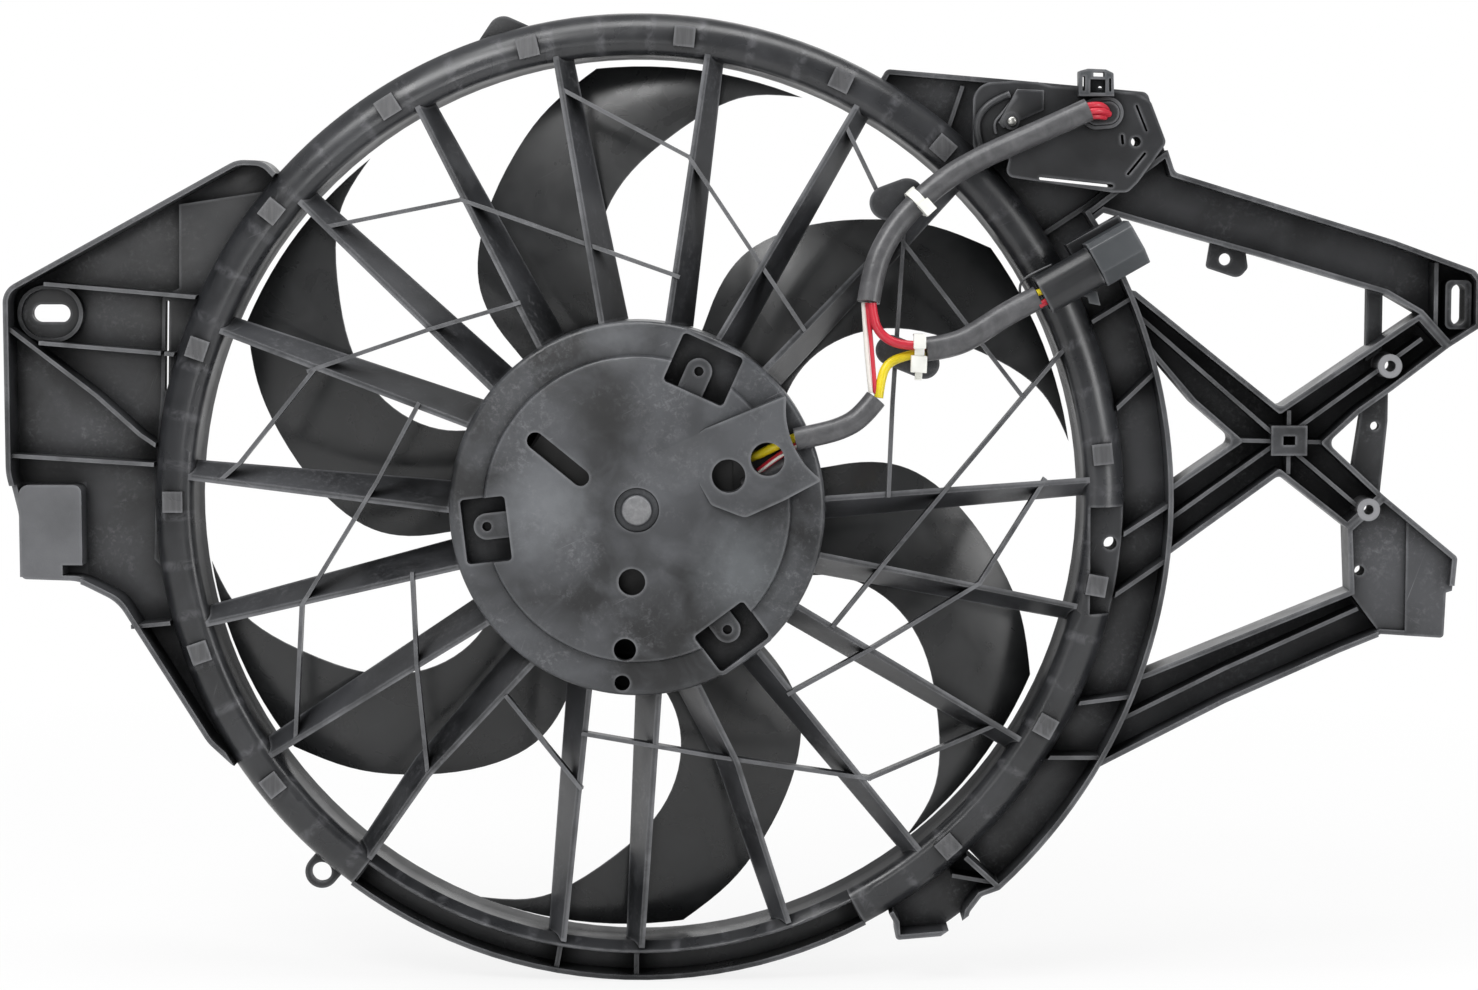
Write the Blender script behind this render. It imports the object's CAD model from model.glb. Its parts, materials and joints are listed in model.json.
import json
import math

import bmesh
import bpy
from mathutils import Matrix, Vector


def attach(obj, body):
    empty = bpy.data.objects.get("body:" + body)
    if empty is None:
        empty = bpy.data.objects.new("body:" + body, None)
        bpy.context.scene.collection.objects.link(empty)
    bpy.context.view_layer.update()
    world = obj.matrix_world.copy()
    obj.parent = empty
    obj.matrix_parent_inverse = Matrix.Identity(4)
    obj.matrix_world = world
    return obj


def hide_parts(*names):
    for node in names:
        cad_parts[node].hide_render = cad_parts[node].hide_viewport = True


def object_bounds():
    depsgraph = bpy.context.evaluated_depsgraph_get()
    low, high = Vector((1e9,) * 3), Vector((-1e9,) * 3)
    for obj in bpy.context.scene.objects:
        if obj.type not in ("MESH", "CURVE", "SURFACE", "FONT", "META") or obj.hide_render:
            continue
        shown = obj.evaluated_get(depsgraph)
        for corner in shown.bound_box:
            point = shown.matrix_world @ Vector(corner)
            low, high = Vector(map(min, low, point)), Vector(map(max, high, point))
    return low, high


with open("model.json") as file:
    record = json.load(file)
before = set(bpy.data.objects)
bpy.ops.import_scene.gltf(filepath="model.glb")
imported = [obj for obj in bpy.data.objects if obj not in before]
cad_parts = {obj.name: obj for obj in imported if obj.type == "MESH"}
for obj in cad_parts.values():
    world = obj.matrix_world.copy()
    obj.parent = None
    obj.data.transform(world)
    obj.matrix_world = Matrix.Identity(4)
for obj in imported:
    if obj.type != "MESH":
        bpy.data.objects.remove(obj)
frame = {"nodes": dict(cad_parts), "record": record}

# The looks of a radiator cooling fan: its black mouldings with rounded edges, scuffs and flow
# marks, the taped harness with its connectors and ties, and the motor behind the hub.
# Metres, in the frame of the CAD model: +X right, +Z up, -Y toward the viewer.
# "Depth" is the distance toward the viewer, which is -Y. Lengths in routes and tables are
# millimetres.

NODES = frame["nodes"]
SLOTS = {part["node"]: part["material_slot"] for part in frame["record"]["subparts"]}
ROTOR = set(frame["record"]["behaviour"]["bodies"]["fan"])
CAD_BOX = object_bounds()
MM = 0.001
RING_DEPTH = 30.0 * MM
CROWN_RADIUS = 229.0 * MM


# Small helpers

def srgb(code):
    """A colour written as sRGB hex, as linear RGBA."""
    parts = [int(code[i:i + 2], 16) / 255 for i in (1, 3, 5)]
    linear = [p / 12.92 if p <= 0.04045 else ((p + 0.055) / 1.055) ** 2.4 for p in parts]
    return (*linear, 1.0)


def grey(level):
    return (level, level, level, 1.0)


def add(tree, kind, settings=None, inputs=None):
    """Adds a node. Settings are its properties; inputs are values or the sockets that feed it."""
    made = tree.nodes.new(kind)
    for name, value in (settings or {}).items():
        setattr(made, name, value)
    for name, value in (inputs or {}).items():
        if isinstance(value, bpy.types.NodeSocket):
            tree.links.new(value, made.inputs[name])
        else:
            made.inputs[name].default_value = value
    return made


def feed(tree, node, sockets):
    """Links sockets into a node's named inputs."""
    for name, socket in sockets.items():
        tree.links.new(socket, node.inputs[name])


def math_node(tree, operation, first, second=0.0):
    return add(tree, "ShaderNodeMath", {"operation": operation}, {0: first, 1: second}).outputs[0]


def times(tree, first, second):
    return math_node(tree, "MULTIPLY", first, second)


def spread(tree, value, low, high, to_low=0.0, to_high=1.0):
    """Maps a value from one range to another, and holds it there."""
    return add(tree, "ShaderNodeMapRange", inputs={
        "Value": value, "From Min": low, "From Max": high,
        "To Min": to_low, "To Max": to_high}).outputs["Result"]


def noise(tree, place, size, detail=3.0, roughness=0.55, distortion=0.0):
    """Noise whose features are about this large, in metres."""
    return add(tree, "ShaderNodeTexNoise", inputs={
        "Vector": place, "Scale": 1 / size, "Detail": detail, "Roughness": roughness,
        "Distortion": distortion}).outputs["Fac"]


def tinted(tree, factor, first, second):
    """One colour over another by a factor; each is a colour or the socket of one."""
    return add(tree, "ShaderNodeMix", {"data_type": "RGBA"}, {
        "Factor": factor, "A": first, "B": second}).outputs["Result"]


def split(tree, place):
    return add(tree, "ShaderNodeSeparateXYZ", inputs={0: place}).outputs


def without_depth(tree, parts):
    """A place with its depth left out, from its separate parts."""
    return add(tree, "ShaderNodeCombineXYZ", inputs={"X": parts["X"], "Z": parts["Z"]}).outputs[0]


def distance_to(tree, place, centre):
    return add(tree, "ShaderNodeVectorMath", {"operation": "DISTANCE"}, {
        0: place, 1: centre}).outputs["Value"]


def length_of(tree, vector):
    return add(tree, "ShaderNodeVectorMath", {"operation": "LENGTH"}, {0: vector}).outputs["Value"]


def occlusion(tree, reach, inside=False):
    """How open a point is to what lies within reach, in front of its face or inside its body."""
    return add(tree, "ShaderNodeAmbientOcclusion", {"inside": inside, "samples": 4}, {
        "Distance": reach}).outputs["AO"]


def relief(tree, height, strength, distance, under=None):
    """A bump's normal, over the bump under it if there is one."""
    made = add(tree, "ShaderNodeBump", inputs={
        "Strength": strength, "Distance": distance, "Height": height})
    if under is not None:
        feed(tree, made, {"Normal": under})
    return made.outputs["Normal"]


def new_material(name):
    """A material, its tree, its shader and the place of each point in the object."""
    material = bpy.data.materials.new(name)
    material.use_nodes = True
    tree = material.node_tree
    place = add(tree, "ShaderNodeTexCoord").outputs["Object"]
    return material, tree, tree.nodes["Principled BSDF"], place


def place_from(route):
    """A cord's points from (x, depth, z) in millimetres."""
    return [Vector((x, -depth, z)) * MM for x, depth, z in route]


# Materials: the marks of the black mouldings

SCRATCH_TURNS = (0.5, 1.9, 2.7)
SCRATCH_SHAPE = (0.030, 0.030, 1.1 * MM)
SCRATCH_GREY = srgb("#8c8c90")
SCRATCH_PATCH = 0.040
CLOUD_SIZE = 0.075
DRIFT_SIZE = 0.021
RIPPLE_SIZE = 0.026
DUST_GRAIN = 0.0028
DUST_PATCH = 0.036
DUST_GREY = srgb("#9c9ca0")
EDGE_GREY = srgb("#77787b")
RECESS_REACH = 14.0 * MM
RECESS_BLACK = srgb("#060606")
RIPPLE_HEIGHT = 0.7 * MM
GRAIN_HEIGHT = 0.1 * MM
PLASTIC_IOR = 1.52
# Where the ring's bore begins, outward and toward the radiator
BORE_RADIUS = (226.5 * MM, 225.0 * MM)
BORE_DEPTH = (-22.0 * MM, -12.0 * MM)
# The ring's flow marks
MARK_PITCH = 25.0 * MM
MARK_DEPTH = (-18.0 * MM, -26.0 * MM)
MARK_GREY = srgb("#66666a")
TAB_FACE = (-RING_DEPTH - 0.3 * MM, -RING_DEPTH - 0.9 * MM)
BRUSH_SCALE = (1 / 0.0018, 1 / 0.02, 1 / 0.02)
# The right bracket's two screw bosses: x, z and the radius of the face
BOSS_FACES = ((375.6, 68.5, 6.3), (366.0, -3.6, 5.6))
BOSS_GREY = srgb("#9a9a9d")
# The left bracket's pocket panel lies left of this x and below this z, in metres
POCKET_SIDE = (-0.2803, -0.2809)
POCKET_TOP = (0.0090, 0.0084)
POCKET_GREY = srgb("#66676a")
# Marks on the motor mount's face: x, z, radius, strength and colour. Handled sheens left, right
# and above, and dark soot between them
MOUNT_MARKS = (
    (-44.0, 2.0, 30.0, 0.5, "#85888c"),
    (52.0, -30.0, 32.0, 0.45, "#7c8084"),
    (-12.0, 50.0, 26.0, 0.75, "#0e0f10"),
    (-10.0, 84.0, 20.0, 0.4, "#77797d"),
    (20.0, -58.0, 24.0, 0.45, "#111213"),
)
MOUNT_FACE_DEPTH = 65.0
# The boss in the middle of the motor mount: its face's depth, and how far its rim is from the
# frame's origin
CENTRE_BOSS_DEPTH = (-68.2 * MM, -68.8 * MM)
CENTRE_BOSS_RIM = (69.6 * MM, 69.3 * MM)
CENTRE_BOSS_GREY = srgb("#8f8f90")


def scratches(tree, place, turn, seed):
    """Sparse hairlines in one direction: noise drawn out along it."""
    turned = add(tree, "ShaderNodeMapping", {"vector_type": "TEXTURE"}, {
        "Vector": place, "Rotation": (0.0, turn, 0.0), "Scale": SCRATCH_SHAPE,
        "Location": (seed * 3.1, seed * 1.7, seed * 5.3)}).outputs["Vector"]
    return spread(tree, noise(tree, turned, 1.0, 2.0, 0.5, 0.5), 0.72, 0.80)


def scratched_over(tree, place, colour, strength):
    """Hairlines in three directions, gathered in patches."""
    patch = spread(tree, noise(tree, place, SCRATCH_PATCH, 2.0), 0.50, 0.62)
    for seed, turn in enumerate(SCRATCH_TURNS):
        hair = times(tree, scratches(tree, place, turn, seed), patch)
        colour = tinted(tree, times(tree, hair, strength), colour, SCRATCH_GREY)
    return colour


def dusted_over(tree, place, colour, strength):
    """Fine pale specks, gathered in patches."""
    specks = spread(tree, noise(tree, place, DUST_GRAIN, 6.0, 0.75, 0.4), 0.50, 0.72)
    patch = spread(tree, noise(tree, place, DUST_PATCH, 4.0, 0.65, 0.5), 0.46, 0.66)
    dust = times(tree, specks, patch)
    return tinted(tree, times(tree, dust, strength), colour, DUST_GREY)


def dull_in_bore(tree, place, shine):
    """Takes most of the shine from the ring's bore, which lies in the fan's shade."""
    parts = split(tree, place)
    radius = length_of(tree, without_depth(tree, parts))
    inside = times(tree, spread(tree, radius, *BORE_RADIUS), spread(tree, parts["Y"], *BORE_DEPTH))
    return times(tree, shine, spread(tree, inside, 0.0, 1.0, 1.0, 0.15))


def moulded_plastic(name, base, scuffed, roughness, grain_mm, grain_depth, flow, scratched,
                    speckle=0.0, extra=None, dull_bore=False, edge_mm=1.6):
    """A black moulding: fine spark-eroded grain, soft pale flow marks, hairline scratches, dust,
    edges rubbed pale, and recesses that are dark and dull. Extra paints what one part has alone."""
    material, tree, shader, place = new_material(name)
    clouds = noise(tree, place, CLOUD_SIZE, 3.0, 0.5, 0.3)
    drifts = noise(tree, place, DRIFT_SIZE, 4.0, 0.55, 0.5)
    wide_flow = spread(tree, clouds, 0.38, 0.68, 0.0, flow)
    fine_flow = spread(tree, drifts, 0.46, 0.74, 0.0, 0.6 * flow)
    colour = tinted(tree, wide_flow, srgb(base), srgb(scuffed))
    colour = tinted(tree, fine_flow, colour, srgb(scuffed))
    colour = scratched_over(tree, place, colour, scratched)
    if speckle:
        colour = dusted_over(tree, place, colour, speckle)
    if extra:
        colour = extra(tree, place, colour)
    edge = spread(tree, occlusion(tree, edge_mm * MM, inside=True), 0.97, 0.62, 0.0, 0.7)
    rubbed = times(tree, edge, spread(tree, drifts, 0.35, 0.60, 0.3, 1.0))
    colour = tinted(tree, rubbed, colour, EDGE_GREY)
    open_air = occlusion(tree, RECESS_REACH)
    colour = tinted(tree, spread(tree, open_air, 0.36, 0.88, 0.75, 0.0), colour, RECESS_BLACK)
    shine = spread(tree, open_air, 0.38, 0.88, 0.10, 0.5)
    if dull_bore:
        shine = dull_in_bore(tree, place, shine)
    gloss = spread(tree, drifts, 0.3, 0.7, roughness - 0.07, roughness + 0.07)
    gloss = math_node(tree, "MAXIMUM", gloss, spread(tree, open_air, 0.36, 0.80, 0.75, 0.0))
    soft = relief(tree, noise(tree, place, RIPPLE_SIZE, 1.5, 0.4), 0.3, RIPPLE_HEIGHT)
    grain = noise(tree, place, grain_mm * MM, 2.0, 0.6)
    normal = relief(tree, grain, grain_depth, GRAIN_HEIGHT, soft)
    feed(tree, shader, {"Base Color": colour, "Roughness": gloss, "Specular IOR Level": shine,
                        "Normal": normal})
    shader.inputs["IOR"].default_value = PLASTIC_IOR
    return material


def crown_marks(tree, place, colour):
    """On the ring: pale flow marks in step along its front, and brushed faces on the tabs."""
    parts = split(tree, place)
    angle = math_node(tree, "ARCTAN2", parts["Z"], parts["X"])
    count = round(2 * math.pi * CROWN_RADIUS / MARK_PITCH)
    swing = math_node(tree, "SINE", times(tree, angle, float(count)))
    front = spread(tree, parts["Y"], *MARK_DEPTH)
    ragged = spread(tree, noise(tree, place, 0.009, 4.0, 0.7, 1.5), 0.42, 0.66, 0.0, 0.5)
    mark = times(tree, times(tree, spread(tree, swing, 0.72, 1.0), front), ragged)
    colour = tinted(tree, mark, colour, MARK_GREY)
    face = spread(tree, parts["Y"], *TAB_FACE, 0.0, 0.4)
    streaks = add(tree, "ShaderNodeMapping", inputs={
        "Vector": place, "Scale": BRUSH_SCALE}).outputs["Vector"]
    brushed = tinted(tree, noise(tree, streaks, 1.0, 3.0), srgb("#2c2c2e"), srgb("#8a8a8c"))
    return tinted(tree, face, colour, brushed)


def rubbed_spots(tree, place, colour):
    """On the brackets: the bosses' faces rubbed pale, and the pocket panel dulled grey."""
    parts = split(tree, place)
    for x, z, radius in BOSS_FACES:
        away = distance_to(tree, without_depth(tree, parts), (x * MM, 0.0, z * MM))
        face = spread(tree, away, (radius + 0.3) * MM, radius * MM, 0.0, 0.7)
        colour = tinted(tree, face, colour, BOSS_GREY)
    panel = times(tree, spread(tree, parts["X"], *POCKET_SIDE),
                  spread(tree, parts["Z"], *POCKET_TOP))
    worn = spread(tree, noise(tree, place, 0.03, 4.0), 0.2, 0.6, 0.35, 0.8)
    return tinted(tree, times(tree, panel, worn), colour, POCKET_GREY)


def mount_marks(tree, place, colour):
    """On the motor mount: sheen and soot on its face, and the centre boss rubbed pale."""
    for x, z, size, strength, tone in MOUNT_MARKS:
        away = distance_to(tree, place, (x * MM, -MOUNT_FACE_DEPTH * MM, z * MM))
        ragged = spread(tree, noise(tree, place, 0.02, 4.0, 0.7), 0.0, 1.0, -0.012, 0.012)
        away = math_node(tree, "ADD", away, ragged)
        near = spread(tree, away, size * MM, 0.15 * size * MM, 0.0, strength)
        colour = tinted(tree, near, colour, srgb(tone))
    face = spread(tree, split(tree, place)["Y"], *CENTRE_BOSS_DEPTH)
    face = times(tree, face, spread(tree, length_of(tree, place), *CENTRE_BOSS_RIM))
    worn = spread(tree, noise(tree, place, 0.004, 4.0, 0.7), 0.3, 0.7, 0.2, 0.8)
    return tinted(tree, times(tree, face, worn), colour, CENTRE_BOSS_GREY)


# Materials: the other finishes

TONE_SHIFT = 0.06
TAPE_PITCH = 9.0 * MM


def plain(name, colour, roughness, metallic=0.0, grain_mm=0.8, depth=0.2):
    """One finish, with the fine grain and the small change of tone that its making leaves."""
    material, tree, shader, place = new_material(name)
    tone = noise(tree, place, 0.012, 4.0)
    tint = spread(tree, tone, 0.3, 0.7, 1 - 2 * TONE_SHIFT, 1 + TONE_SHIFT)
    paint = add(tree, "ShaderNodeMix", {"data_type": "RGBA", "blend_type": "MULTIPLY"}, {
        "Factor": 1.0, "A": srgb(colour), "B": tint}).outputs["Result"]
    gloss = spread(tree, tone, 0.3, 0.7, roughness - TONE_SHIFT, roughness + TONE_SHIFT)
    normal = relief(tree, noise(tree, place, grain_mm * MM, 2.0), depth, GRAIN_HEIGHT)
    feed(tree, shader, {"Base Color": paint, "Roughness": gloss, "Normal": normal})
    shader.inputs["Metallic"].default_value = metallic
    return material


def taped_sleeve():
    """Black PVC tape wound with overlaps: a faint step at each lap, dust and a soft sheen."""
    material, tree, shader, place = new_material("wound_black_pvc_tape")
    along = add(tree, "ShaderNodeAttribute", {"attribute_name": "along"}).outputs["Fac"]
    turn = math_node(tree, "FRACT", math_node(tree, "DIVIDE", along, TAPE_PITCH))
    lap = times(tree, spread(tree, turn, 0.0, 0.08), spread(tree, turn, 1.0, 0.85))
    dust = spread(tree, noise(tree, place, 0.010, 5.0, 0.65, 1.0), 0.40, 0.72, 0.0, 0.45)
    soft = relief(tree, lap, 0.25, 0.15 * MM)
    normal = relief(tree, noise(tree, place, 1.3 * MM, 3.0), 0.25, 0.12 * MM, soft)
    feed(tree, shader, {"Base Color": tinted(tree, dust, srgb("#474749"), srgb("#727274")),
                        "Normal": normal})
    shader.inputs["Roughness"].default_value = 0.34
    return material


# Black glass-filled polypropylene from a textured mould: satin, with grey flow marks and scuffs.
SHROUD = moulded_plastic("moulded_black_polypropylene", "#1e1f21", "#46474a", 0.36, 0.9, 0.3, 0.9,
                         0.4, speckle=0.3, extra=rubbed_spots)
# The same plastic on the ring, with its flow marks in step and the tabs' brushed faces.
RING = moulded_plastic("moulded_black_polypropylene_ring", "#1c1d1f", "#3b3c3f", 0.31, 0.9, 0.25,
                       0.6, 0.3, extra=crown_marks, dull_bore=True)
# The same plastic on the motor mount, which was rubbed and knocked most.
MOUNT = moulded_plastic("moulded_black_polypropylene_scuffed", "#141517", "#595b5f", 0.36, 0.9,
                        0.3, 0.8, 0.8, speckle=0.35, extra=mount_marks)
# Black nylon blades from a polished mould: smoother and glossier, with few marks.
BLADE = moulded_plastic("moulded_black_nylon_blades", "#1a1b1c", "#343536", 0.30, 1.2, 0.10, 0.6,
                        0.12, edge_mm=0.6)
# The control module's nylon cover: fine even grain, hardly scratched.
MODULE = moulded_plastic("moulded_black_nylon_module", "#1d1e20", "#333438", 0.38, 0.7, 0.25, 0.5,
                         0.12)
# Grey nylon of the connector: satin, a little lighter where it was handled.
GREY_NYLON = moulded_plastic("moulded_grey_nylon", "#3c3f42", "#54575a", 0.36, 0.8, 0.2, 0.5,
                             0.12)

FINISHES = {
    "shroud_plastic": SHROUD,
    "fan_plastic": BLADE,
    "module_plastic": MODULE,
    "grey_plastic": GREY_NYLON,
    # Natural nylon ties: white, with a soft gloss.
    "white_nylon": plain("natural_nylon_tie", "#ecece6", 0.38, grain_mm=1.5),
    "loom_tape": taped_sleeve(),
    # PVC wire insulation: glossy and saturated.
    "red_insulation": plain("red_pvc_insulation", "#c4283a", 0.33, depth=0.1),
    "yellow_insulation": plain("yellow_pvc_insulation", "#e3cd1e", 0.35, depth=0.1),
    "white_insulation": plain("white_pvc_insulation", "#e2ddd6", 0.4, depth=0.1),
    # Deep-drawn steel with black coating: satin.
    "motor_steel": plain("black_coated_steel", "#101011", 0.5, grain_mm=0.6),
    # Zinc plate: bright, faintly mottled.
    "zinc_steel": plain("zinc_plated_steel", "#b9b9b4", 0.34, metallic=1.0),
    # Ground ferrite: dull grey-black.
    "ferrite": plain("ground_ferrite", "#3a3a3b", 0.6, metallic=0.3),
    # Pressed carbon: matte black.
    "carbon": plain("pressed_carbon", "#1f1f20", 0.6),
    # Phenolic resin: brown, satin.
    "brown_resin": plain("moulded_phenolic_resin", "#4a3021", 0.5),
    # Bare steel sheets: fine dull metal.
    "lamination_steel": plain("stacked_steel_laminations", "#77787a", 0.4, metallic=1.0),
    # Copper wire under clear enamel: warm brown metal.
    "enamelled_copper": plain("enamelled_copper_wire", "#a4592c", 0.35, metallic=1.0),
    # Bare copper: bright and warm.
    "copper": plain("bare_copper_segments", "#c47a4a", 0.3, metallic=1.0),
}
BY_NODE = {
    "shroud_ring": RING,
    "motor_mount": MOUNT,
    # Black phosphate on the screws down in the lugs: they read as dark holes.
    "motor_screws": plain("black_phosphated_screws", "#0c0c0c", 0.6),
}


# Pieces, and the body that each one rides

def body_of(node):
    return "fan" if node in ROTOR else "shroud"


def finish_of(node):
    return BY_NODE.get(node, FINISHES[SLOTS[node]])


def new_piece(name, data):
    piece = bpy.data.objects.new(name, data)
    bpy.context.scene.collection.objects.link(piece)
    return piece


def keep(piece, node):
    """Puts a piece in place of a node, on the node's body and with its slot."""
    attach(piece, body_of(node))
    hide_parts(node)


def keep_extra(piece):
    """Puts a piece that stands for no node on the shroud."""
    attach(piece, "shroud")


def piece_of_shape(name, shape, slot):
    """A smooth extra piece from a bmesh, which it frees."""
    for face in shape.faces:
        face.smooth = True
    mesh = bpy.data.meshes.new(name)
    shape.to_mesh(mesh)
    shape.free()
    mesh.materials.append(FINISHES[slot])
    keep_extra(new_piece(name, mesh))


# The mouldings: each CAD node again, with rounded edges

MOULDED = ("shroud_plastic", "fan_plastic", "module_plastic", "grey_plastic")
SAME_SPOT = 0.00001
FLAT_ANGLE = math.radians(0.05)
SHARP_ANGLE = math.radians(28)
MOULDING_EDGE = 0.45
TIE_EDGE = 0.3
EDGE_STEPS = 2


def moulding(node, edge):
    """A CAD node as one smooth closed mesh with soft edges, in place of its loose triangles."""
    mesh = NODES[node].data.copy()
    mesh.name = node + "_finished"
    mesh.materials.clear()
    mesh.materials.append(finish_of(node))
    shape = bmesh.new()
    shape.from_mesh(mesh)
    bmesh.ops.remove_doubles(shape, verts=shape.verts, dist=SAME_SPOT)
    bmesh.ops.dissolve_degenerate(shape, edges=shape.edges, dist=SAME_SPOT)
    bmesh.ops.dissolve_limit(shape, angle_limit=FLAT_ANGLE, verts=shape.verts, edges=shape.edges)
    for face in shape.faces:
        face.smooth = True
        face.material_index = 0
    for rim in shape.edges:
        rim.smooth = len(rim.link_faces) == 2 and rim.calc_face_angle() < SHARP_ANGLE
    shape.to_mesh(mesh)
    shape.free()
    piece = new_piece(node + "_finished", mesh)
    bevel = piece.modifiers.new("rounded_edges", "BEVEL")
    bevel.width = edge * MM
    bevel.segments = EDGE_STEPS
    bevel.limit_method = "ANGLE"
    bevel.angle_limit = SHARP_ANGLE
    bevel.harden_normals = True
    keep(piece, node)


def dress_nodes():
    """Mouldings and ties are made again, cords are drawn elsewhere, and the rest is painted."""
    for node in NODES:
        if SLOTS[node] in MOULDED:
            moulding(node, MOULDING_EDGE)
        elif node.startswith("cable_tie"):
            moulding(node, TIE_EDGE)
        elif node not in ROUTES:
            materials = NODES[node].data.materials
            materials.clear()
            materials.append(finish_of(node))


# Harness: smooth tubes along the CAD routes, as (x, depth, z)

ROUTES = {
    "upper_loom": [
        (221.8, 44.0, 195.6), (204.0, 44.5, 187.5), (187.0, 43.5, 180.0), (168.0, 43.0, 171.5),
        (150.0, 44.0, 161.0), (131.0, 47.2, 143.9), (121.0, 50.5, 129.0), (116.0, 53.5, 116.0),
        (113.5, 56.5, 101.5)],
    "red_wire": [
        (115.2, 58.3, 101.0), (116.0, 59.5, 92.0), (120.5, 60.5, 84.5), (130.0, 61.5, 80.2),
        (141.2, 60.9, 80.3)],
    "connector_sleeve": [
        (141.7, 58.5, 78.5), (156.0, 57.5, 80.0), (170.0, 53.5, 88.0), (183.3, 50.0, 96.6),
        (197.2, 50.0, 103.6)],
    "yellow_wire": [
        (118.4, 63.0, 54.9), (119.5, 62.0, 64.0), (122.5, 60.5, 71.5), (131.0, 57.5, 75.2),
        (141.2, 56.6, 76.9)],
    "signal_wire": [
        (114.6, 63.0, 57.4), (113.0, 61.5, 72.0), (112.0, 59.0, 87.0), (111.2, 55.6, 101.1)],
    "motor_sleeve": [
        (77.5, 67.9, 34.9), (88.0, 67.8, 37.0), (100.0, 66.5, 40.0), (110.0, 65.0, 45.5),
        (117.0, 63.5, 54.5)],
}
DIAMETERS = {
    "upper_loom": 11.5, "red_wire": 4.6, "connector_sleeve": 12.0, "yellow_wire": 4.6,
    "signal_wire": 2.4, "motor_sleeve": 11.0,
}
# Wires that show at the ends of sleeves: name, diameter, slot, route
LOOSE_WIRES = [
    ("hood_wire_yellow", 4.6, "yellow_insulation", [
        (80.0, 67.0, 36.5), (71.0, 65.0, 33.0), (62.0, 61.5, 28.0), (57.0, 57.5, 25.6),
        (54.8, 55.0, 24.6)]),
    ("hood_wire_red", 3.4, "red_insulation", [
        (80.0, 67.0, 33.0), (70.0, 65.0, 27.0), (62.0, 61.5, 20.5), (57.5, 57.5, 16.8),
        (55.0, 55.0, 15.0)]),
    ("hood_wire_white", 1.4, "white_insulation", [
        (80.0, 69.2, 32.6), (70.0, 67.2, 26.6), (62.0, 63.7, 20.1), (57.5, 59.7, 16.4),
        (55.0, 57.2, 14.6)]),
    ("hood_inner_sleeve", 8.0, "loom_tape", [
        (80.0, 62.0, 27.0), (70.0, 60.0, 21.0), (60.0, 57.0, 15.0), (53.0, 55.0, 11.0)]),
    ("signal_wire_red", 2.2, "red_insulation", [
        (116.9, 63.2, 57.0), (115.6, 61.7, 72.0), (114.4, 59.3, 87.0), (112.9, 56.4, 101.1)]),
    ("plug_wire_upper", 3.2, "red_insulation", [
        (221.0, 45.8, 197.4), (226.0, 44.8, 198.2), (230.0, 41.0, 197.0), (231.5, 36.5, 195.5)]),
    ("plug_wire_middle", 3.2, "red_insulation", [
        (221.0, 46.6, 194.4), (226.0, 45.6, 195.2), (230.8, 41.6, 194.6), (232.6, 36.5, 193.6)]),
    ("plug_wire_lower", 3.2, "red_insulation", [
        (221.0, 43.4, 192.2), (225.4, 42.6, 192.6), (229.0, 40.0, 192.4), (230.6, 36.5, 192.2)]),
    ("mouth_wire_yellow", 3.4, "yellow_insulation", [
        (196.4, 53.6, 105.8), (199.6, 53.4, 107.2), (204.0, 52.6, 108.6), (207.0, 51.5, 109.6)]),
    ("mouth_wire_red", 3.4, "red_insulation", [
        (197.4, 53.4, 99.8), (200.8, 53.2, 101.6), (204.8, 52.2, 104.0), (207.4, 51.2, 105.6)]),
]
# Thin moulded edges that stand on a face: name, diameter, slot, route
RIMS = [
    ("module_dome_rim", 3.6, "module_plastic", [
        (184.0, 31.0, 203.4), (176.5, 31.6, 200.6), (169.5, 31.6, 194.5), (167.2, 31.4, 186.5),
        (169.8, 31.0, 178.0)]),
    ("module_inner_rim", 1.6, "module_plastic", [
        (187.0, 30.4, 203.0), (180.5, 30.4, 194.0), (175.7, 30.4, 188.9), (177.5, 30.4, 184.0)]),
    ("connector_wire_guard", 1.3, "module_plastic", [
        (188.4, 50.0, 104.6), (187.6, 51.0, 109.6), (191.0, 51.5, 113.6), (197.0, 51.5, 116.6),
        (203.6, 51.0, 119.6)]),
]
CORD_SIDES = 24
WIRE_SIDES = 14
RIM_SIDES = 12
TUBE_STEP = 1.2 * MM


def new_tree(name, kinds):
    """A geometry tree with inputs of these kinds and one output, and its inputs' sockets."""
    tree = bpy.data.node_groups.new(name, "GeometryNodeTree")
    for socket, kind in kinds.items():
        tree.interface.new_socket(socket, in_out="INPUT", socket_type="NodeSocket" + kind)
    tree.interface.new_socket("Mesh", in_out="OUTPUT", socket_type="NodeSocketGeometry")
    return tree, add(tree, "NodeGroupInput").outputs


def hand_out(tree, geometry, material):
    """Paints what a tree made, as plain geometry, and hands it out."""
    whole = add(tree, "GeometryNodeRealizeInstances", inputs={0: geometry}).outputs[0]
    painted = add(tree, "GeometryNodeSetMaterial", inputs={
        "Geometry": whole, "Material": material}).outputs[0]
    feed(tree, add(tree, "NodeGroupOutput"), {"Mesh": painted})


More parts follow.
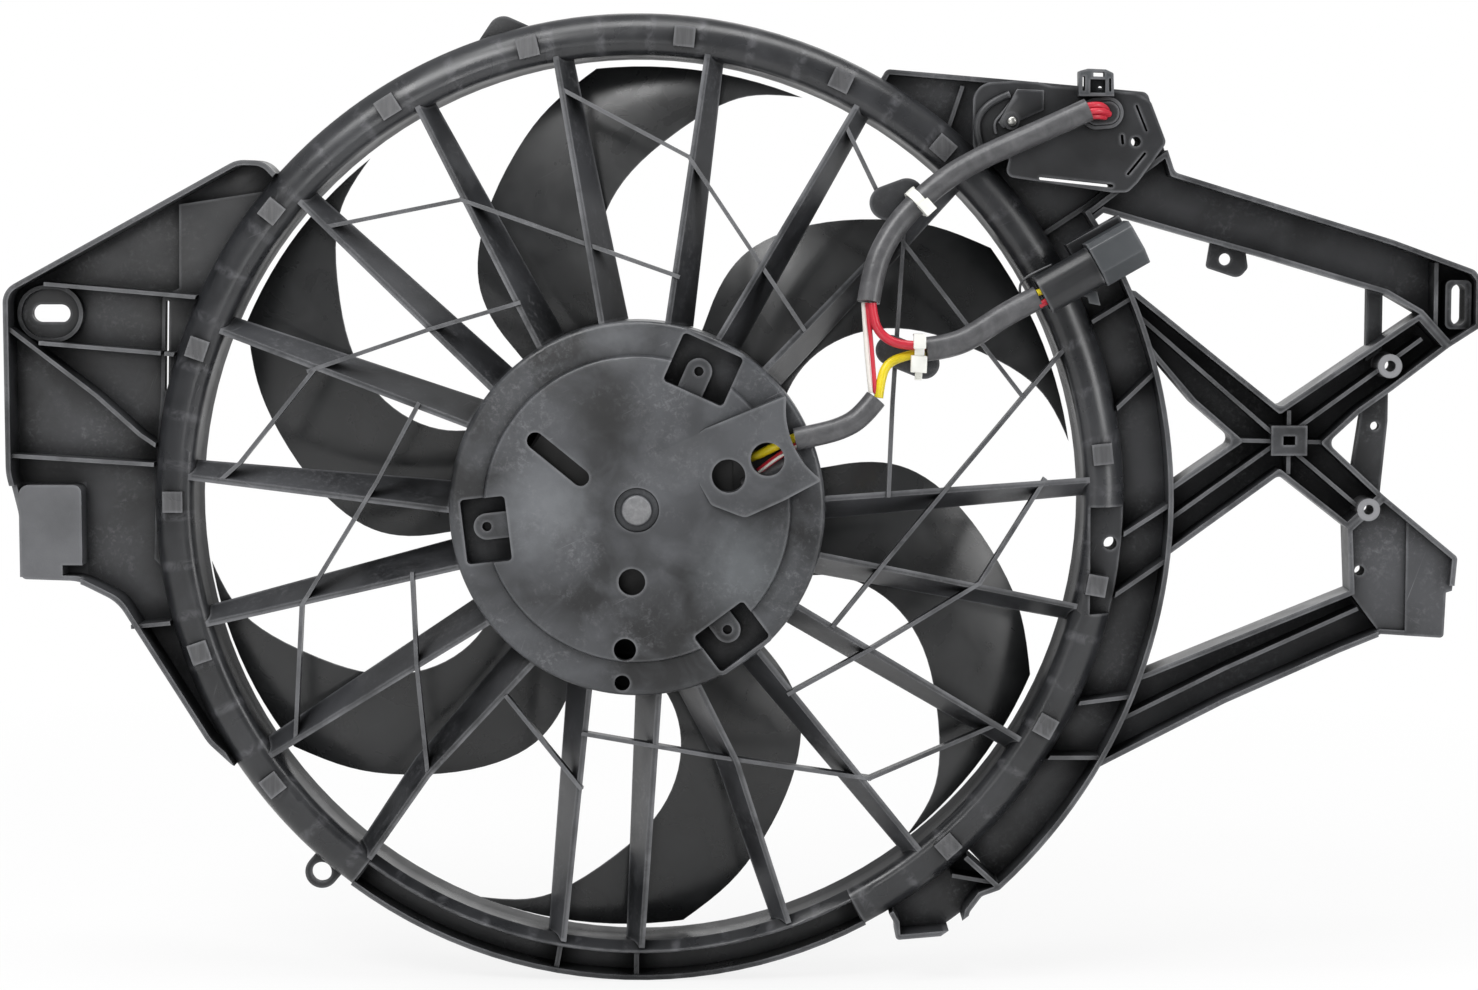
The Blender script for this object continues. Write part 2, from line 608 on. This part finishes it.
def tube_tree():
    """Sweeps a circle along the object's own curve and stores the length along it."""
    tree, source = new_tree("tube_along_curve", {
        "Curve": "Geometry", "Diameter": "Float", "Sides": "Int", "Step": "Float",
        "Material": "Material"})
    even = add(tree, "GeometryNodeResampleCurve", {"mode": "LENGTH"}, {
        "Curve": source["Curve"], "Length": source["Step"]}).outputs[0]
    travelled = add(tree, "GeometryNodeSplineParameter").outputs["Length"]
    stored = add(tree, "GeometryNodeStoreNamedAttribute", {
        "data_type": "FLOAT", "domain": "POINT"}, {
        "Geometry": even, "Name": "along", "Value": travelled}).outputs[0]
    radius = math_node(tree, "DIVIDE", source["Diameter"], 2.0)
    ring = add(tree, "GeometryNodeCurvePrimitiveCircle", inputs={
        "Resolution": source["Sides"], "Radius": radius}).outputs[0]
    swept = add(tree, "GeometryNodeCurveToMesh", inputs={
        "Curve": stored, "Profile Curve": ring, "Fill Caps": True}).outputs[0]
    hand_out(tree, swept, source["Material"])
    return tree


def teeth_tree():
    """Sets small crossbars in a row, as on the inside of a tie's tail."""
    tree, source = new_tree("row_of_teeth", {
        "Geometry": "Geometry", "Start": "Vector", "Pitch": "Vector", "Size": "Vector",
        "Count": "Int", "Material": "Material"})
    row = add(tree, "GeometryNodeMeshLine", inputs={
        "Count": source["Count"], "Start Location": source["Start"],
        "Offset": source["Pitch"]}).outputs[0]
    tooth = add(tree, "GeometryNodeMeshCube", inputs={"Size": source["Size"]}).outputs[0]
    placed = add(tree, "GeometryNodeInstanceOnPoints", inputs={
        "Points": row, "Instance": tooth}).outputs[0]
    hand_out(tree, placed, source["Material"])
    return tree


def grown(holder, tree, values):
    """The mesh that a tree makes of an object, with the tree's inputs set by their names."""
    modifier = holder.modifiers.new("grow", "NODES")
    modifier.node_group = tree
    for item in tree.interface.items_tree:
        if item.in_out == "INPUT" and item.name in values:
            modifier[item.identifier] = values[item.name]
    made = holder.evaluated_get(bpy.context.evaluated_depsgraph_get())
    mesh = bpy.data.meshes.new_from_object(made)
    holder.modifiers.remove(modifier)
    bpy.data.objects.remove(holder)
    return mesh


TUBE = tube_tree()


def smooth_path(name, points):
    """A curve object of one smooth spline with these control points."""
    curve = bpy.data.curves.new(name, "CURVE")
    curve.dimensions = "3D"
    curve.resolution_u = 16
    spline = curve.splines.new("NURBS")
    spline.points.add(len(points) - 1)
    for spot, place in zip(spline.points, points):
        spot.co = (*place, 1.0)
    spline.order_u = 3
    spline.use_endpoint_u = True
    return new_piece(name, curve)


def tube(name, route, diameter, material, sides):
    """A tube along a route, shaded smooth but for its cut ends."""
    mesh = grown(smooth_path(name + "_path", place_from(route)), TUBE, {
        "Diameter": diameter * MM, "Sides": sides, "Step": TUBE_STEP, "Material": material})
    shape = bmesh.new()
    shape.from_mesh(mesh)
    for face in shape.faces:
        face.smooth = len(face.verts) == 4
    shape.to_mesh(mesh)
    shape.free()
    mesh.name = name
    return new_piece(name, mesh)


def make_harness():
    for node, route in ROUTES.items():
        keep(tube(node + "_drawn", route, DIAMETERS[node], finish_of(node), CORD_SIDES), node)


def make_extra_tubes(table, sides):
    for name, diameter, slot, route in table:
        keep_extra(tube(name, route, diameter, FINISHES[slot], sides))


# Small forms on the module, the hood, the connector and the lower tie

SLAB_EDGE = 0.35 * MM
# The rivet's middle in x and z, its radius and how far its head rises
RIVET_PLACE = (185.0, 190.0)
RIVET_RADIUS = 2.3
RIVET_RISE = 1.1
# The tie's teeth in x, depth and z: the first one's middle, the way to the next, and the size
FIRST_TOOTH = (137.8 * MM, -63.0 * MM, 64.1 * MM)
TOOTH_PITCH = (0.02 * MM, 0.0, 0.9 * MM)
TOOTH_SIZE = (2.8 * MM, 0.5 * MM, 0.4 * MM)
TOOTH_COUNT = 5


def slab(name, corners, low, high, slot):
    """A flat panel with soft edges, from its outline (x, z) and its two depths."""
    shape = bmesh.new()
    base = [shape.verts.new((x * MM, -low * MM, z * MM)) for x, z in corners]
    made = bmesh.ops.extrude_face_region(shape, geom=[shape.faces.new(base)])["geom"]
    raised = [item for item in made if isinstance(item, bmesh.types.BMVert)]
    bmesh.ops.translate(shape, verts=raised, vec=(0.0, -(high - low) * MM, 0.0))
    bmesh.ops.recalc_face_normals(shape, faces=shape.faces)
    bmesh.ops.bevel(shape, geom=shape.edges[:], offset=SLAB_EDGE, segments=2, affect="EDGES",
                    profile=0.5)
    piece_of_shape(name, shape, slot)


def dome(name, centre, depth, radius, rise, slot):
    """A low round head with its middle at (x, z)."""
    shape = bmesh.new()
    placed = Matrix.Translation((centre[0] * MM, -depth * MM, centre[1] * MM))
    scaled = Matrix.Diagonal((radius * MM, rise * MM, radius * MM, 1.0))
    bmesh.ops.create_uvsphere(shape, u_segments=24, v_segments=12, radius=1.0,
                              matrix=placed @ scaled)
    piece_of_shape(name, shape, slot)


def make_small_forms():
    slab("module_raised_panel", [
        (187.5, 206.0), (201.0, 205.4), (201.0, 195.6), (181.0, 186.6), (178.4, 189.4)],
        29.5, 31.6, "module_plastic")
    cover_front = -min(corner[1] for corner in NODES["module_cover"].bound_box) / MM
    dome("module_rivet_head", RIVET_PLACE, cover_front, RIVET_RADIUS, RIVET_RISE, "zinc_steel")
    # A plain black plate that stands for the grommet behind the motor's wires
    slab("hood_grommet", [(47.0, 6.0), (78.0, 6.0), (78.0, 42.0), (47.0, 42.0)],
         53.2, 54.2, "carbon")
    slab("connector_notched_tab", [
        (219.0, 108.6), (226.6, 106.6), (228.4, 99.4), (222.6, 100.6), (222.0, 103.4),
        (218.4, 104.4)], 44.0, 46.0, "grey_plastic")


def make_tie_tail():
    """The lower tie's head and short tail with its teeth, which hang below the bundle."""
    slab("tie_tail_head", [(133.9, 67.6), (141.7, 67.2), (142.0, 75.4), (134.2, 75.8)],
         60.5, 67.5, "white_nylon")
    slab("tie_tail", [(136.0, 63.6), (139.6, 63.4), (139.9, 68.4), (136.3, 68.6)],
         61.6, 62.9, "white_nylon")
    holder = new_piece("tie_teeth_holder", bpy.data.meshes.new("tie_teeth_holder"))
    mesh = grown(holder, teeth_tree(), {
        "Start": FIRST_TOOTH, "Pitch": TOOTH_PITCH, "Size": TOOTH_SIZE, "Count": TOOTH_COUNT,
        "Material": FINISHES["white_nylon"]})
    mesh.name = "tie_tail_teeth"
    keep_extra(new_piece("tie_tail_teeth", mesh))


# Stage, light and camera

FLOOR_REACH = 12.0
FLOOR_GAP = 0.0002
FLOOR_GREY = 0.86
# Share of white that the eye sees on the floor, near the part and far from it, and where
WHITE_NEAR = 0.84
WHITE_FAR = 1.0
WHITE_RANGE = (0.45, 1.1)
WORLD_LIGHT = 0.30
# Area lamps: name, place, target, width and height, watts
LAMPS = (
    ("key", (-1.1, -1.5, 1.9), (0.0, 0.0, 0.0), (1.2, 0.8), 34.0),
    ("front", (-0.5, -2.3, 0.4), (0.0, 0.0, 0.0), (0.7, 0.5), 6.0),
    ("fill", (1.9, -1.1, 0.5), (0.1, 0.0, 0.0), (0.6, 1.4), 16.0),
    ("top", (0.1, -0.3, 2.1), (0.0, 0.0, 0.0), (2.2, 0.7), 30.0),
    ("rear", (0.4, 2.2, 1.0), (0.0, 0.0, 0.0), (1.6, 1.6), 8.0),
)
# The camera as fitted to the photo: its width and focal length in pixels
PHOTO_WIDTH = 1478
PHOTO_FOCAL = 3500
SENSOR_WIDTH = 36.0
CAMERA_ELEVATION = math.radians(5.0)
CAMERA_TARGET = (0.0501, -0.030, 0.0043)
CAMERA_DISTANCE = 1.75


def seen_by_eye(tree):
    """1 for the rays that show a background, and 0 for the rays that light the part."""
    path = add(tree, "ShaderNodeLightPath").outputs
    return math_node(tree, "MAXIMUM", path["Is Camera Ray"], path["Is Transmission Ray"])


def make_floor(level):
    """A pale matte floor, whitened for the eye and wholly white far away."""
    mesh = bpy.data.meshes.new("floor")
    corners = [(-FLOOR_REACH, -FLOOR_REACH, level), (FLOOR_REACH, -FLOOR_REACH, level),
               (FLOOR_REACH, FLOOR_REACH, level), (-FLOOR_REACH, FLOOR_REACH, level)]
    mesh.from_pydata(corners, [], [(0, 1, 2, 3)])
    floor = new_piece("floor", mesh)
    material = bpy.data.materials.new("pale_matte_floor")
    material.use_nodes = True
    tree = material.node_tree
    tree.nodes.clear()
    matte = add(tree, "ShaderNodeBsdfDiffuse", inputs={"Color": grey(FLOOR_GREY)}).outputs[0]
    away = length_of(tree, add(tree, "ShaderNodeTexCoord").outputs["Object"])
    share = spread(tree, away, *WHITE_RANGE, WHITE_NEAR, WHITE_FAR)
    white = add(tree, "ShaderNodeEmission", inputs={"Color": grey(1.0), "Strength": 1.0})
    mixed = add(tree, "ShaderNodeMixShader", inputs={
        0: times(tree, seen_by_eye(tree), share), 1: matte, 2: white.outputs[0]}).outputs[0]
    feed(tree, add(tree, "ShaderNodeOutputMaterial"), {"Surface": mixed})
    mesh.materials.append(material)


def make_world():
    """A white surrounding that lights the part more softly than it shows."""
    world = bpy.data.worlds.new("studio")
    bpy.context.scene.world = world
    world.use_nodes = True
    tree = world.node_tree
    tree.nodes.clear()
    strength = spread(tree, seen_by_eye(tree), 0.0, 1.0, WORLD_LIGHT, 1.0)
    background = add(tree, "ShaderNodeBackground", inputs={
        "Color": grey(1.0), "Strength": strength}).outputs[0]
    feed(tree, add(tree, "ShaderNodeOutputWorld"), {"Surface": background})


def aim(piece, direction):
    """Turns a lamp or a camera to look in a direction."""
    piece.rotation_mode = "QUATERNION"
    piece.rotation_quaternion = direction.to_track_quat("-Z", "Y")


def make_lamp(name, place, target, size, power):
    data = bpy.data.lights.new(name, "AREA")
    data.shape = "RECTANGLE"
    data.size, data.size_y = size
    data.energy = power
    lamp = new_piece(name, data)
    lamp.location = place
    aim(lamp, Vector(target) - Vector(place))


def make_camera():
    data = bpy.data.cameras.new("camera")
    data.sensor_width = SENSOR_WIDTH
    data.lens = PHOTO_FOCAL / PHOTO_WIDTH * SENSOR_WIDTH
    camera = new_piece("camera", data)
    ahead = Vector((0.0, math.cos(CAMERA_ELEVATION), -math.sin(CAMERA_ELEVATION)))
    camera.location = Vector(CAMERA_TARGET) - ahead * CAMERA_DISTANCE
    aim(camera, ahead)
    bpy.context.scene.camera = camera


make_harness()
make_extra_tubes(LOOSE_WIRES, WIRE_SIDES)
make_extra_tubes(RIMS, RIM_SIDES)
make_small_forms()
make_tie_tail()
dress_nodes()
make_floor(CAD_BOX[0].z - FLOOR_GAP)
make_world()
for lamp_row in LAMPS:
    make_lamp(*lamp_row)
make_camera()
bpy.context.scene.view_settings.view_transform = "Standard"
